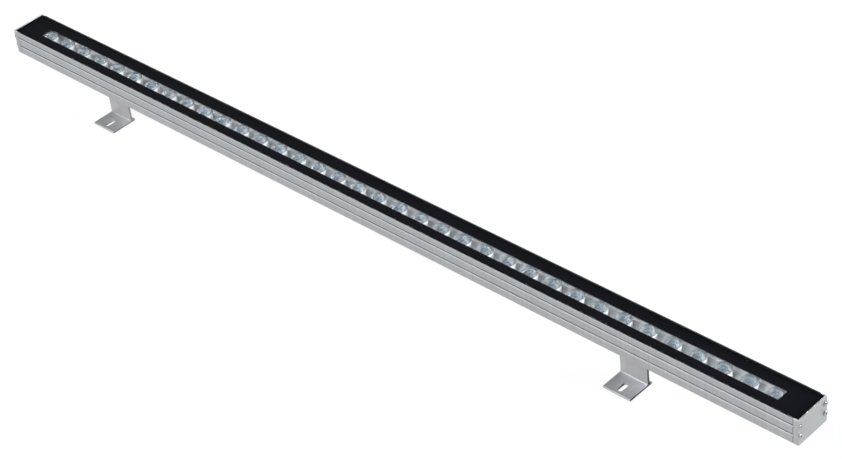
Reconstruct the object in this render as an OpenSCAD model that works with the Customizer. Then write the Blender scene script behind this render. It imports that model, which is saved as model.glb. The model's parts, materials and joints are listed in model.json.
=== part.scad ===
// Linear outdoor wall washer light: an extruded aluminium lamp one metre long
// with a printed glass front, on two brackets that slide and tilt.
// Origin: centre of the footprint, on the surface that the feet stand on.
// X runs along the lamp, Y away from the feet's long side, Z up. Millimetres.

/* [Lamp] */
// Overall length over the two end caps
lamp_len = 1000; // [760:1:1300]
// Width of the housing
housing_w = 38.6; // [36.5:0.1:46]
// Radius of the housing's long edges
edge_r = 0.5; // [0.2:0.1:0.8]
// Thickness of the rim that stands up round the glass
rim_t = 1.15; // [0.9:0.05:1.5]
// Thickness of the housing's side walls
wall_t = 2.0; // [1.6:0.1:2.6]
// Thickness of the floor that carries the boards
floor_t = 2.0; // [1.6:0.1:3]
// Thickness of the housing's outer bottom wall
bottom_t = 1.6; // [1.2:0.1:2]

/* [Glass front] */
// Thickness of the glass
glass_t = 4.0; // [3:0.1:5]
// How far the glass lies below the rim
glass_recess = 0.2; // [0.1:0.05:0.6]
// Gap between the glass and the rim round it
glass_gap = 0.2; // [0.1:0.05:0.4]
// Thickness of the black print under the glass
print_t = 0.1; // [0.05:0.05:0.2]
// Thickness of the silicone bed under the glass
seal_t = 0.5; // [0.3:0.1:1]
// Width of the clear window in the print
window_w = 12.65; // [10:0.05:15]
// Distance from each end of the lamp to the clear window
window_inset = 29.4; // [26:0.1:36]

/* [Side grooves and screw ports] */
// Diameter of the screw ports that run along the sides
port_d = 2.6; // [2.2:0.1:3]
// Distance from the side face to the axis of a port
port_inset = 2.2; // [2:0.1:2.8]
// Wall between a port and the inside
port_wall = 1.3; // [1:0.1:1.6]
// Height between the upper and the lower port
port_spacing = 10; // [9:0.1:11]
// Width of the slit that opens each port to the side
groove_w = 0.9; // [0.6:0.1:1.2]
// Radius of the lips of each slit
groove_lip_r = 0.3; // [0.1:0.05:0.4]

/* [Bracket channel] */
// Width of the channel's mouth
channel_mouth_w = 8.4; // [7.5:0.1:9.5]
// Width of the channel inside
channel_w = 14; // [12.5:0.1:15]
// Height of the channel inside
channel_h = 4.5; // [4.1:0.1:5.5]
// Thickness of the lips at the channel's mouth
channel_lip_t = 2.0; // [1.6:0.1:2.4]
// Thickness of the webs beside the channel
channel_web_t = 3.4; // [3.1:0.1:3.8]

/* [End caps] */
// Thickness of an end cap
cap_t = 5.0; // [4:0.1:7]
// Thickness of the gasket behind an end cap
cap_gasket_t = 0.8; // [0.5:0.1:1.2]
// How far the gasket stays inside the outline of the housing
gasket_inset = 0.25; // [0.1:0.05:0.4]
// Clearance hole for a cap screw
cap_hole_d = 3.0; // [2.8:0.1:3.4]
// Head diameter of a cap screw
cap_screw_head_d = 5.0; // [4.4:0.1:5.4]
// Head height of a cap screw
cap_screw_head_h = 1.4; // [1:0.1:2]
// Length of a cap screw under its head
cap_screw_len = 14; // [11:1:20]

/* [Light engine] */
// Distance between two light sources
led_pitch = 26.5; // [24:0.1:30]
// Thickness of a board
board_t = 1.6; // [1:0.1:1.7]
// Gap between a board and the cavity's walls
board_side_gap = 0.75; // [0.5:0.05:1.2]
// Gap between the two boards
board_joint_gap = 0.4; // [0.2:0.1:1]
// Shortest way from the end of the lamp to a board
board_end_inset = 22.5; // [21:0.1:26]
// Side of a light source's square base
led_base_w = 3.5; // [3:0.1:4]
// Height of a light source's base
led_base_h = 0.9; // [0.6:0.1:1.2]
// Radius of a light source's dome
led_dome_r = 1.4; // [1:0.1:1.5]
// Outer diameter of a lens
lens_d = 16.4; // [15:0.1:18]
// Height from the board to the top of a lens
lens_h = 11.2; // [10:0.1:12.5]
// Gap between the lenses and the glass
lens_gap = 1.4; // [0.8:0.1:2.5]
// Thickness of a lens's flange
lens_flange_t = 1.2; // [0.8:0.1:1.6]
// Radius of the dished middle of a lens's face
lens_dish_r = 3.6; // [3:0.1:4.2]
// Depth of the dished middle of a lens's face
lens_dish_depth = 0.8; // [0.4:0.1:1.2]
// Radius of the pocket over the light source
lens_pocket_r = 2.9; // [2.7:0.1:3.1]
// Depth of the pocket over the light source
lens_pocket_depth = 4.4; // [3.8:0.1:5]
// Radius of the lens's lower end
lens_foot_r = 3.9; // [3.7:0.1:4.2]
// Height of the lens's lower end over the board
lens_foot_lift = 1.4; // [1.2:0.1:1.8]
// Wall of a lens holder
holder_wall = 0.9; // [0.7:0.1:1.1]
// How much a holder narrows from its top to its foot, on the radius
holder_taper = 0.5; // [0.2:0.1:0.8]

/* [Feet and brackets] */
// Width of a bracket along the lamp
bracket_w = 30.2; // [27:0.1:36]
// Height from the feet's underside to the housing
bracket_rise = 40.6; // [38:0.1:50]
// Distance from the left end of the lamp to the left bracket's middle
left_bracket_inset = 134.2; // [110:0.1:200]
// Distance from the right end of the lamp to the right bracket's middle
right_bracket_inset = 185.9; // [110:0.1:240]
// Thickness of a foot's base
foot_t = 2.4; // [2:0.1:3]
// Thickness of a foot's upright
upright_t = 2.4; // [2:0.1:3]
// Length of a foot's base across the lamp
foot_len = 29.6; // [27:0.1:34]
// How far the base stands out behind the upright
foot_lip = 3.1; // [2.5:0.1:4]
// Radius of the fillets between the base and the upright
foot_fillet_r = 1.2; // [0.6:0.1:2]
// Width of the fixing slot in a foot
slot_w = 5.2; // [4.5:0.1:6.5]
// Length of the fixing slot from end to end
slot_len = 12; // [9:0.1:14]
// Distance from the base's front edge to the slot's middle
slot_inset = 9.1; // [8.5:0.1:10.5]
// Distance from the housing down to the tilt axis
pivot_drop = 10; // [9:0.1:12]
// Radius of the hinge knuckles
knuckle_r = 4.5; // [4:0.1:4.8]
// Width of the foot's knuckle
foot_knuckle_w = 14; // [12:0.1:16]
// Gap between neighbouring knuckles
knuckle_gap = 0.2; // [0.1:0.05:0.3]
// Distance from the knuckles to the shoulders of a foot's upright
shoulder_gap = 1.5; // [1:0.1:2]
// Thickness of a clip's plate
clip_plate_t = 3.0; // [2.5:0.1:3.2]
// Width of a clip's plate across the lamp
clip_plate_w = 22; // [21:0.1:26]
// Gap between a clip's plate and the housing
clip_gap = 0.3; // [0.2:0.05:0.5]
// Gap between a clip's head and neck and the channel's walls
channel_clearance = 0.25; // [0.15:0.05:0.35]
// Gap between a clip's head and the lips that carry it
lip_clearance = 0.05; // [0.03:0.01:0.1]
// Thickness of a clip's head
clip_head_t = 2.9; // [2.4:0.1:3.2]
// Diameter of the pivot bolt
pivot_d = 4.0; // [3.5:0.1:4.5]
// Radial clearance round the pivot bolt
pivot_clearance = 0.05; // [0.02:0.01:0.1]
// Diameter of the set screws that lock a clip
set_screw_d = 4.0; // [3:0.1:4.2]
// Distance from the clip's middle to a set screw
set_screw_offset = 7.6; // [7.4:0.1:8]

/* [Lead entry] */
// Diameter of the gland's thread
gland_thread_d = 12; // [11:0.1:12.4]
// Width across the flats of the gland's hexagons
gland_af = 14; // [13.4:0.1:14.6]
// Diameter of the lead that the gland is made for
lead_d = 6; // [5:0.1:6.5]
// Height of the gland's hexagon
gland_hex_h = 3.6; // [3:0.1:4]
// Thickness of the gland's washer
gland_washer_t = 1.0; // [0.8:0.1:1.4]
// Height of the gland's dome nut
gland_nut_h = 8.4; // [7.5:0.1:9.5]
// Thickness of the gland's locknut
gland_locknut_t = 3.0; // [2.5:0.1:4]

/* [Hidden] */
$fn = 48;

// Overrun that lets a cut pass through the faces it opens
cut = 1;
// Running gap between a screw and its own hole
screw_gap = 0.05;
// Round stretches of a lens wall
lens_wall_steps = 6;
// Share of a screw head's height that is domed
head_dome_share = 0.55;
// Width of a cross recess as a share of the head's diameter
recess_w_share = 0.16;
// Length of a cross recess as a share of the head's diameter
recess_len_share = 0.56;
// Depth of a cross recess as a share of the head's height
recess_depth_share = 0.6;
// Screws that hold the boards
board_screw_d = 2.5;
board_screw_head_d = 4.5;
board_screw_head_h = 1.6;
board_screw_depth = 4.6;
board_hole_d = 2.9;
// Current regulators, one for every three light sources
regulator_size = [5, 3.8, 1.5];
regulator_edge_gap = 1.2;
lights_per_regulator = 3;
// Bridge between the two boards
link_size = [12, 4.2, 2.6];
// Terminal that takes the lead's cores
terminal_size = [8.4, 4.6, 4.2];
terminal_port_r = 0.8;
terminal_port_depth = 5;
// Places of the terminal's two ports as shares of its width
terminal_port_shares = [0.28, 0.72];
// Half the angle between two corners of a hexagon
hexagon_half_angle = 30;
// Gap between a lens and the wall of its holder
lens_holder_gap = 0.3;
// Socket of a set screw
set_screw_socket_af = 2.0;
set_screw_socket_depth = 2.0;
// Nut, washers and head of the pivot bolt
pivot_nut_af = 7;
pivot_nut_t = 3.2;
pivot_washer_r = 4.4;
pivot_washer_t = 0.8;
pivot_head_d = 7.6;
pivot_head_h = 2.2;
pivot_socket_af = 2.5;
pivot_tip = 1;
// Gland details
gland_wall = 1.05;
gland_thread_play = 0.2;
gland_inner_wall = 1.0;
gland_tip_gap = 0.4;
gland_lower_len = 5.6;
gland_upper_len = 6.5;
gland_pocket_gap = 0.4;
gland_end_gap = 0.7;
gland_nut_land = 1.2;
gland_dome_share = 0.35;

// Heights, measured down from the top of the rim
glass_top_drop = glass_recess;
glass_under_drop = glass_top_drop + glass_t;
ledge_drop = glass_under_drop + print_t + seal_t;
upper_port_drop = ledge_drop + port_wall + port_d / 2;
lower_port_drop = upper_port_drop + port_spacing;
lens_top_drop = glass_under_drop + print_t + lens_gap;
board_top_drop = lens_top_drop + lens_h;
floor_drop = board_top_drop + board_t;
floor_under_drop = floor_drop + floor_t;
housing_h = floor_under_drop + channel_h + channel_lip_t;

// Heights over the surface that the feet stand on
top_z = bracket_rise + housing_h;
ledge_z = top_z - ledge_drop;
board_z = top_z - board_top_drop;
floor_z = top_z - floor_drop;
channel_top_z = top_z - floor_under_drop;
lip_top_z = bracket_rise + channel_lip_t;
pivot_z = bracket_rise - pivot_drop;

// Places across the lamp, measured from its middle plane
half_w = housing_w / 2;
port_y = half_w - port_inset;
port_block = port_inset + port_d / 2 + port_wall;
cavity_w = housing_w - 2 * port_block;
board_w = cavity_w - 2 * board_side_gap;
pocket_w = housing_w - 2 * rim_t;
glass_w = pocket_w - 2 * glass_gap;
board_screw_y = -(channel_w + channel_web_t) / 2;

// Places along the lamp, measured from its middle
half_len = lamp_len / 2;
housing_len = lamp_len - 2 * (cap_t + cap_gasket_t);
pocket_len = lamp_len - 2 * rim_t;
glass_len = pocket_len - 2 * glass_gap;
window_len = lamp_len - 2 * window_inset;
lights_per_board = floor((lamp_len - 2 * board_end_inset) / (2 * led_pitch));
board_pitch_len = lights_per_board * led_pitch;
board_len = board_pitch_len - board_joint_gap / 2;
left_bracket_x = -half_len + left_bracket_inset;
right_bracket_x = half_len - right_bracket_inset;
gland_x = -board_pitch_len - gland_end_gap - gland_af / 2;

// The footprint reaches from the feet's front edge to the farthest screw head
foot_front_y = -(foot_len - foot_lip - upright_t / 2);
screw_reach_y = max(half_w, port_y + cap_screw_head_d / 2);
footprint_mid_y = (screw_reach_y + foot_front_y) / 2;

// Moves a piece from the lamp's middle plane to the middle of the footprint
module placed() {
  translate([0, -footprint_mid_y, 0]) children();
}

// Draws a flat outline, Y across and Z up, and runs it along X from x0
module along_x(x0, len) {
  translate([x0, 0, 0]) rotate([90, 0, 90]) linear_extrude(len) children();
}

// Rectangle from [y0, z0] with rounded corners
module rounded_rect(y0, z0, w, h, r) {
  translate([y0 + r, z0]) square([w - 2 * r, h]);
  translate([y0, z0 + r]) square([w, h - 2 * r]);
  for (y = [y0 + r, y0 + w - r], z = [z0 + r, z0 + h - r]) {
    translate([y, z]) circle(r);
  }
}

// Hexagonal prism with two flats square to X, standing on Z zero
module hexagon(af, h) {
  rotate([0, 0, hexagon_half_angle])
    cylinder(h = h, d = af / cos(hexagon_half_angle), $fn = 6);
}

// Domed screw head on Z zero, top up, without a recess
module screw_head(head_d, head_h) {
  dome_h = head_h * head_dome_share;
  dome_r = (pow(head_d / 2, 2) + pow(dome_h, 2)) / (2 * dome_h);
  intersection() {
    cylinder(h = head_h, d = head_d);
    translate([0, 0, head_h - dome_r]) sphere(dome_r, $fn = 96);
  }
}

// Cross-recessed pan head screw, its head over Z zero and its shank below
module pan_screw(head_d, head_h, shank_d, shank_len) {
  recess_len = head_d * recess_len_share;
  recess_w = head_d * recess_w_share;
  recess_depth = head_h * recess_depth_share;
  difference() {
    screw_head(head_d, head_h);
    for (turn = [0, 90]) {
      rotate([0, 0, turn]) translate([-recess_len / 2, -recess_w / 2, head_h - recess_depth])
        cube([recess_len, recess_w, head_h]);
    }
  }
  translate([0, 0, -shank_len]) cylinder(h = shank_len, d = shank_d);
}

// Outer outline of the housing and the caps, drawn in by inset
module lamp_outline(inset = 0) {
  rounded_rect(-half_w + inset, bracket_rise + inset, housing_w - 2 * inset,
    housing_h - 2 * inset, edge_r);
}

// Outline of the space that the glass and its bed fill
module glass_pocket_outline() {
  translate([-pocket_w / 2, ledge_z]) square([pocket_w, ledge_drop + cut]);
}

// Both ports on both sides: centres as [y, z]
port_centres = [
  for (side = [-1, 1], drop = [upper_port_drop, lower_port_drop]) [side * port_y, top_z - drop]
];

// Solid blocks that hold the screw ports, inside the housing's outline
module port_blocks() {
  block_h = port_d + 2 * port_wall;
  intersection() {
    lamp_outline();
    for (c = port_centres) {
      y0 = c[0] > 0 ? half_w - port_block : -half_w;
      translate([y0, c[1] - block_h / 2]) square([port_block, block_h]);
    }
  }
}

// Flare of a slit at the side face: Y zero is the face, and the inside is towards -Y
module groove_flare() {
  flare_w = groove_w + 2 * groove_lip_r;
  difference() {
    translate([-groove_lip_r, -flare_w / 2]) square([groove_lip_r + cut, flare_w]);
    for (z = [-flare_w / 2, flare_w / 2]) {
      translate([-groove_lip_r, z]) circle(groove_lip_r);
    }
  }
}

// Bores of the ports with the slits that show as grooves on the sides
module port_cuts() {
  for (c = port_centres) {
    translate(c) circle(d = port_d);
    y0 = c[0] > 0 ? c[0] : -half_w - cut;
    translate([y0, c[1] - groove_w / 2]) square([port_inset + cut, groove_w]);
    if (c[0] > 0) {
      translate([half_w, c[1]]) groove_flare();
    } else {
      translate([-half_w, c[1]]) mirror([1, 0]) groove_flare();
    }
  }
}

// Channel under the floor with its narrow mouth
module channel_outline() {
  translate([-channel_w / 2, lip_top_z]) square([channel_w, channel_h]);
  translate([-channel_mouth_w / 2, bracket_rise - cut])
    square([channel_mouth_w, channel_lip_t + channel_h + cut]);
}

// Closed chambers on both sides of the channel
module chamber_outline() {
  chamber_w = half_w - wall_t - channel_w / 2 - channel_web_t;
  chamber_h = channel_top_z - bracket_rise - bottom_t;
  for (y0 = [-half_w + wall_t, half_w - wall_t - chamber_w]) {
    translate([y0, bracket_rise + bottom_t]) square([chamber_w, chamber_h]);
  }
}

// Cavity between the floor and the glass
module cavity_outline() {
  wide_w = housing_w - 2 * wall_t;
  translate([-wide_w / 2, floor_z]) square([wide_w, ledge_z - floor_z]);
}

module housing_profile() {
  difference() {
    union() {
      difference() {
        lamp_outline();
        glass_pocket_outline();
        cavity_outline();
        chamber_outline();
      }
      port_blocks();
    }
    port_cuts();
    channel_outline();
  }
}

// Positions along X of the light sources of one board, counted from the lamp's left end
function light_xs(side) = [
  for (i = [0 : lights_per_board - 1])
    side < 0 ? -board_pitch_len + (i + 0.5) * led_pitch : (i + 0.5) * led_pitch
];

// Gaps between light sources, numbered from the left of each board, that hold a screw
function screw_gaps() = [for (i = [2 : lights_per_regulator : lights_per_board - 2]) i];

// Gaps that hold a current regulator
function regulator_gaps() = [for (i = [1 : lights_per_regulator : lights_per_board - 2]) i];

function gap_x(side, i) = light_xs(side)[i] + led_pitch / 2;

module housing() {
  color([0.72, 0.73, 0.74]) difference() {
    along_x(-housing_len / 2, housing_len) housing_profile();
    gland_pocket();
    for (side = [-1, 1], i = screw_gaps()) {
      translate([gap_x(side, i), board_screw_y, floor_z - board_screw_depth])
        cylinder(h = board_screw_depth + cut, d = board_screw_d + 2 * screw_gap);
    }
  }
}

// Milled relief in the channel's left end, and the gland's hole through the floor
gland_pocket_d = gland_af / cos(hexagon_half_angle) + 2 * gland_pocket_gap;
module gland_pocket() {
  relief_h = channel_top_z - bracket_rise;
  translate([gland_x, 0, bracket_rise - cut]) {
    cylinder(h = relief_h + cut, d = gland_pocket_d);
    translate([-gland_pocket_d, -gland_pocket_d / 2, 0])
      cube([gland_pocket_d, gland_pocket_d, relief_h + cut]);
    cylinder(h = relief_h + floor_t + 2 * cut, d = gland_thread_d + gland_thread_play);
  }
}

// End cap with its outer face on X zero, reaching in along +X
module end_cap() {
  difference() {
    along_x(0, cap_t) lamp_outline();
    along_x(rim_t, cap_t) glass_pocket_outline();
    for (c = port_centres) {
      translate([-cut, c[0], c[1]]) rotate([0, 90, 0]) cylinder(h = cap_t + 2 * cut, d = cap_hole_d);
    }
  }
}

// Gasket between the housing and a cap, on X zero
module cap_gasket() {
  along_x(0, cap_gasket_t) difference() {
    lamp_outline(gasket_inset);
    glass_pocket_outline();
    translate([-cavity_w / 2, floor_z]) square([cavity_w, ledge_z - floor_z + cut]);
    for (c = port_centres) {
      translate(c) circle(d = cap_hole_d);
    }
  }
}

// Four cap screws, their heads on the plane X zero and their shanks along +X
module cap_screws() {
  for (c = port_centres) {
    translate([0, c[0], c[1]]) rotate([0, -90, 0])
      pan_screw(cap_screw_head_d, cap_screw_head_h, port_d - 2 * screw_gap, cap_screw_len);
  }
}

// Draws a left-hand piece at the left end, or its mirror image at the right end
module at_end(side, inset) {
  if (side < 0) {
    translate([-half_len + inset, 0, 0]) children();
  } else {
    translate([half_len - inset, 0, 0]) mirror([1, 0, 0]) children();
  }
}

module left_end_cap() {
  color([0.76, 0.77, 0.78]) at_end(-1, 0) end_cap();
}

module right_end_cap() {
  color([0.76, 0.77, 0.78]) at_end(1, 0) end_cap();
}

module left_cap_gasket() {
  color([0.5, 0.51, 0.52]) at_end(-1, cap_t) cap_gasket();
}

module right_cap_gasket() {
  color([0.5, 0.51, 0.52]) at_end(1, cap_t) cap_gasket();
}

module left_cap_screws() {
  color([0.8, 0.8, 0.82]) at_end(-1, 0) cap_screws();
}

module right_cap_screws() {
  color([0.8, 0.8, 0.82]) at_end(1, 0) cap_screws();
}

// Block centred on X and Y
module centred_block(len, w, z0, h) {
  translate([-len / 2, -w / 2, z0]) cube([len, w, h]);
}

module front_glass() {
  color([0.55, 0.6, 0.62, 0.35]) centred_block(glass_len, glass_w, top_z - glass_under_drop, glass_t);
}

module window_print() {
  print_z = top_z - glass_under_drop - print_t;
  color([0.03, 0.03, 0.04]) difference() {
    centred_block(glass_len, glass_w, print_z, print_t);
    centred_block(window_len, window_w, print_z - cut, print_t + 2 * cut);
  }
}

module glass_seal() {
  open_len = housing_len - 2 * gasket_inset;
  color([0.6, 0.6, 0.6]) difference() {
    centred_block(glass_len, glass_w, ledge_z, seal_t);
    centred_block(open_len, cavity_w, ledge_z - cut, seal_t + 2 * cut);
  }
}

// Board strip with the holes for its screws
module led_board(side) {
  x0 = side < 0 ? -board_pitch_len : board_joint_gap / 2;
  difference() {
    translate([x0, -board_w / 2, floor_z]) cube([board_len, board_w, board_t]);
    for (i = screw_gaps()) {
      translate([gap_x(side, i), board_screw_y, floor_z - cut])
        cylinder(h = board_t + 2 * cut, d = board_hole_d);
    }
  }
}

module left_led_board() {
  color([0.9, 0.9, 0.88]) led_board(-1);
}

module right_led_board() {
  color([0.9, 0.9, 0.88]) led_board(1);
}

// Light source: a square base with a clear dome
module light_source() {
  translate([-led_base_w / 2, -led_base_w / 2, 0]) cube([led_base_w, led_base_w, led_base_h]);
  translate([0, 0, led_base_h]) intersection() {
    sphere(led_dome_r);
    cylinder(h = 2 * led_dome_r, r = 2 * led_dome_r);
  }
}

// Copies a piece onto every light source of one board
module on_lights(side) {
  for (x = light_xs(side)) {
    translate([x, 0, board_z]) children();
  }
}

module left_leds() {
  color([0.95, 0.85, 0.45]) on_lights(-1) light_source();
}

module right_leds() {
  color([0.95, 0.85, 0.45]) on_lights(1) light_source();
}

lens_r = lens_d / 2;
holder_h = lens_h - lens_flange_t;
lens_neck_r = lens_r - holder_wall - lens_holder_gap;

// Radius of the lens's reflecting wall, from its foot at share 0 to its neck at share 1
function lens_wall_r(share) = lens_foot_r + (lens_neck_r - lens_foot_r) * sin(90 * share);
function lens_wall_z(share) = lens_foot_lift + (holder_h - lens_foot_lift) * (1 - cos(90 * share));

// Collimating lens over its light source, standing on the board at Z zero
module lens() {
  wall = [
    for (i = [0 : lens_wall_steps])
      [lens_wall_r(i / lens_wall_steps), lens_wall_z(i / lens_wall_steps)]
  ];
  difference() {
    rotate_extrude() polygon(concat(
      [[0, lens_foot_lift]],
      wall,
      [[lens_r, holder_h], [lens_r, lens_h], [0, lens_h]]
    ));
    translate([0, 0, lens_h - lens_dish_depth])
      cylinder(h = lens_dish_depth + cut, r = lens_dish_r);
    translate([0, 0, lens_foot_lift - cut])
      cylinder(h = lens_pocket_depth + cut, r = lens_pocket_r);
  }
}

module left_lenses() {
  color([0.8, 0.85, 0.9, 0.5]) on_lights(-1) lens();
}

module right_lenses() {
  color([0.8, 0.85, 0.9, 0.5]) on_lights(1) lens();
}

// Cup that carries a lens by its flange, with a hole for the light source
module lens_holder() {
  foot_r = lens_r - holder_taper;
  hole_r = lens_foot_r;
  rotate_extrude() polygon([
    [hole_r, 0],
    [foot_r, 0],
    [lens_r, holder_h],
    [lens_r - holder_wall, holder_h],
    [foot_r - holder_wall, holder_wall],
    [hole_r, holder_wall]
  ]);
}

module left_lens_holders() {
  color([0.85, 0.87, 0.88]) on_lights(-1) lens_holder();
}

module right_lens_holders() {
  color([0.85, 0.87, 0.88]) on_lights(1) lens_holder();
}

// Chips on the near edge of a board, one for each group of light sources
module current_regulators(side) {
  y0 = -board_w / 2 + regulator_edge_gap;
  for (i = regulator_gaps()) {
    translate([gap_x(side, i) - regulator_size[0] / 2, y0, board_z]) cube(regulator_size);
  }
}

module left_current_regulators() {
  color([0.1, 0.1, 0.1]) current_regulators(-1);
}

module right_current_regulators() {
  color([0.1, 0.1, 0.1]) current_regulators(1);
}

module board_screws(side) {
  for (i = screw_gaps()) {
    translate([gap_x(side, i), board_screw_y, board_z])
      pan_screw(board_screw_head_d, board_screw_head_h, board_screw_d,
        board_t + board_screw_depth - screw_gap);
  }
}

module left_board_screws() {
  color([0.8, 0.8, 0.82]) board_screws(-1);
}

module right_board_screws() {
  color([0.8, 0.8, 0.82]) board_screws(1);
}

// Bridge that joins the two boards' tracks, lying over their joint
module board_link() {
  y0 = -board_w / 2 + regulator_edge_gap;
  color([0.92, 0.92, 0.9]) translate([-link_size[0] / 2, y0, board_z]) cube(link_size);
}

// Two-pole terminal on the left board, beside the gland
module power_terminal() {
  x0 = gap_x(-1, 0) - terminal_size[0] / 2;
  y0 = -board_w / 2 + regulator_edge_gap;
  color([0.92, 0.92, 0.9]) translate([x0, y0, board_z]) difference() {
    cube(terminal_size);
    for (share = terminal_port_shares) {
      translate([-cut, terminal_size[1] * share, terminal_size[2] / 2]) rotate([0, 90, 0])
        cylinder(h = terminal_port_depth + cut, r = terminal_port_r);
    }
  }
}

// Gland heights over the surface
gland_hex_z = channel_top_z - gland_washer_t - gland_hex_h;
gland_lower_z = gland_hex_z - gland_lower_len;
gland_lower_r = gland_thread_d / 2 - gland_thread_play;
gland_socket_r = gland_lower_r - gland_wall;
gland_bore_r = lead_d / 2 + gland_tip_gap;
gland_nut_z = gland_hex_z - gland_thread_play - gland_nut_h;

module gland_body() {
  color([0.12, 0.12, 0.12]) translate([gland_x, 0, 0]) difference() {
    union() {
      translate([0, 0, gland_hex_z]) hexagon(gland_af, gland_hex_h);
      translate([0, 0, gland_lower_z]) cylinder(h = gland_lower_len + cut, r = gland_lower_r);
      translate([0, 0, gland_hex_z + gland_hex_h - cut])
        cylinder(h = gland_washer_t + gland_upper_len + cut, d = gland_thread_d);
    }
    translate([0, 0, gland_lower_z - cut])
      cylinder(h = gland_hex_z - gland_inner_wall - gland_lower_z + cut, r = gland_socket_r);
    translate([0, 0, gland_lower_z])
      cylinder(h = channel_top_z + gland_upper_len + cut - gland_lower_z, r = gland_bore_r);
  }
}

module gland_washer() {
  color([0.15, 0.15, 0.15]) translate([gland_x, 0, channel_top_z - gland_washer_t]) difference() {
    cylinder(h = gland_washer_t, d = gland_af);
    translate([0, 0, -cut])
      cylinder(h = gland_washer_t + 2 * cut, d = gland_thread_d + gland_thread_play);
  }
}

// Rubber sleeve that grips the lead
module gland_seal() {
  seal_h = gland_hex_z - gland_inner_wall - gland_lower_z - screw_gap;
  color([0.2, 0.2, 0.2]) translate([gland_x, 0, gland_lower_z]) difference() {
    cylinder(h = seal_h, r = gland_socket_r - screw_gap);
    translate([0, 0, -cut]) cylinder(h = seal_h + 2 * cut, d = lead_d);
  }
}

module gland_dome_nut() {
  land_z = gland_lower_z - gland_nut_land;
  dome_h = gland_nut_h * gland_dome_share;
  corner_r = gland_af / 2 / cos(hexagon_half_angle);
  dome_r = (pow(corner_r, 2) + pow(dome_h, 2)) / (2 * dome_h);
  color([0.12, 0.12, 0.12]) translate([gland_x, 0, 0]) difference() {
    translate([0, 0, gland_nut_z]) intersection() {
      hexagon(gland_af, gland_nut_h);
      translate([0, 0, dome_r]) union() {
        sphere(dome_r, $fn = 96);
        cylinder(h = gland_nut_h, r = corner_r + cut);
      }
    }
    translate([0, 0, gland_lower_z])
      cylinder(h = gland_nut_h, r = gland_lower_r + screw_gap);
    translate([0, 0, gland_nut_z - cut])
      cylinder(h = gland_nut_h, r = gland_bore_r);
    translate([0, 0, land_z])
      cylinder(h = gland_nut_h, r = gland_bore_r + gland_tip_gap);
  }
}

module gland_locknut() {
  color([0.12, 0.12, 0.12]) translate([gland_x, 0, floor_z]) difference() {
    hexagon(gland_af, gland_locknut_t);
    translate([0, 0, -cut])
      cylinder(h = gland_locknut_t + 2 * cut, r = gland_thread_d / 2 + screw_gap);
  }
}

// Moves a bracket piece to its place along the lamp
module at_bracket(side) {
  translate([side < 0 ? left_bracket_x : right_bracket_x, 0, 0]) children();
}

ear_w = (bracket_w - foot_knuckle_w) / 2 - knuckle_gap;
pivot_hole_r = pivot_d / 2 + pivot_clearance;
clip_top_z = bracket_rise - clip_gap;
clip_plate_z = clip_top_z - clip_plate_t;
clip_head_z = lip_top_z + lip_clearance;

// Sliding clip: a head in the channel, a plate under the lamp and two hinge knuckles
module clip() {
  neck_w = channel_mouth_w - 2 * channel_clearance;
  head_w = channel_w - 2 * channel_clearance;
  difference() {
    union() {
      along_x(-bracket_w / 2, bracket_w) {
        rounded_rect(-clip_plate_w / 2, clip_plate_z, clip_plate_w, clip_plate_t, edge_r);
        translate([-neck_w / 2, clip_plate_z]) square([neck_w, clip_head_z - clip_plate_z]);
        translate([-head_w / 2, clip_head_z]) square([head_w, clip_head_t]);
      }
      for (x0 = [-bracket_w / 2, bracket_w / 2 - ear_w]) {
        along_x(x0, ear_w) {
          translate([0, pivot_z]) circle(knuckle_r);
          translate([-knuckle_r, pivot_z]) square([2 * knuckle_r, clip_plate_z - pivot_z]);
        }
      }
    }
    translate([-bracket_w, 0, pivot_z]) rotate([0, 90, 0]) cylinder(h = 2 * bracket_w, r = pivot_hole_r);
    for (y = [-set_screw_offset, set_screw_offset]) {
      translate([0, y, clip_plate_z - cut])
        cylinder(h = clip_plate_t + 2 * cut, r = set_screw_d / 2 + screw_gap);
    }
  }
}

// Set screws through the clip's plate, up against the housing
module clip_set_screws() {
  len = clip_plate_t + clip_gap;
  for (y = [-set_screw_offset, set_screw_offset]) {
    translate([0, y, bracket_rise - len - screw_gap]) difference() {
      cylinder(h = len, d = set_screw_d);
      translate([0, 0, -cut]) hexagon(set_screw_socket_af, set_screw_socket_depth + cut);
    }
  }
}

// Bolt through the knuckles along X, its head on the right
module pivot_bolt() {
  grip = bracket_w + 2 * pivot_washer_t;
  shank_len = grip + pivot_nut_t + pivot_tip;
  translate([grip / 2, 0, pivot_z]) rotate([0, 90, 0]) {
    difference() {
      screw_head(pivot_head_d, pivot_head_h);
      translate([0, 0, pivot_head_h / 2]) hexagon(pivot_socket_af, pivot_head_h);
    }
    translate([0, 0, -shank_len]) cylinder(h = shank_len, d = pivot_d);
  }
}

module pivot_nut() {
  translate([-bracket_w / 2 - pivot_washer_t, 0, pivot_z]) rotate([0, -90, 0]) difference() {
    hexagon(pivot_nut_af, pivot_nut_t);
    translate([0, 0, -cut]) cylinder(h = pivot_nut_t + 2 * cut, r = pivot_d / 2 + screw_gap);
  }
}

module pivot_washers() {
  for (x0 = [-bracket_w / 2 - pivot_washer_t, bracket_w / 2]) {
    translate([x0, 0, pivot_z]) rotate([0, 90, 0]) difference() {
      cylinder(h = pivot_washer_t, r = pivot_washer_r);
      translate([0, 0, -cut]) cylinder(h = pivot_washer_t + 2 * cut, r = pivot_d / 2 + screw_gap);
    }
  }
}

// Fillet in the corner between the base's top and the upright, on the given side
module foot_fillet(side) {
  y0 = side * upright_t / 2;
  difference() {
    translate([side < 0 ? y0 - foot_fillet_r : y0, foot_t]) square(foot_fillet_r);
    translate([y0 + side * foot_fillet_r, foot_t + foot_fillet_r]) circle(foot_fillet_r);
  }
}

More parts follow.
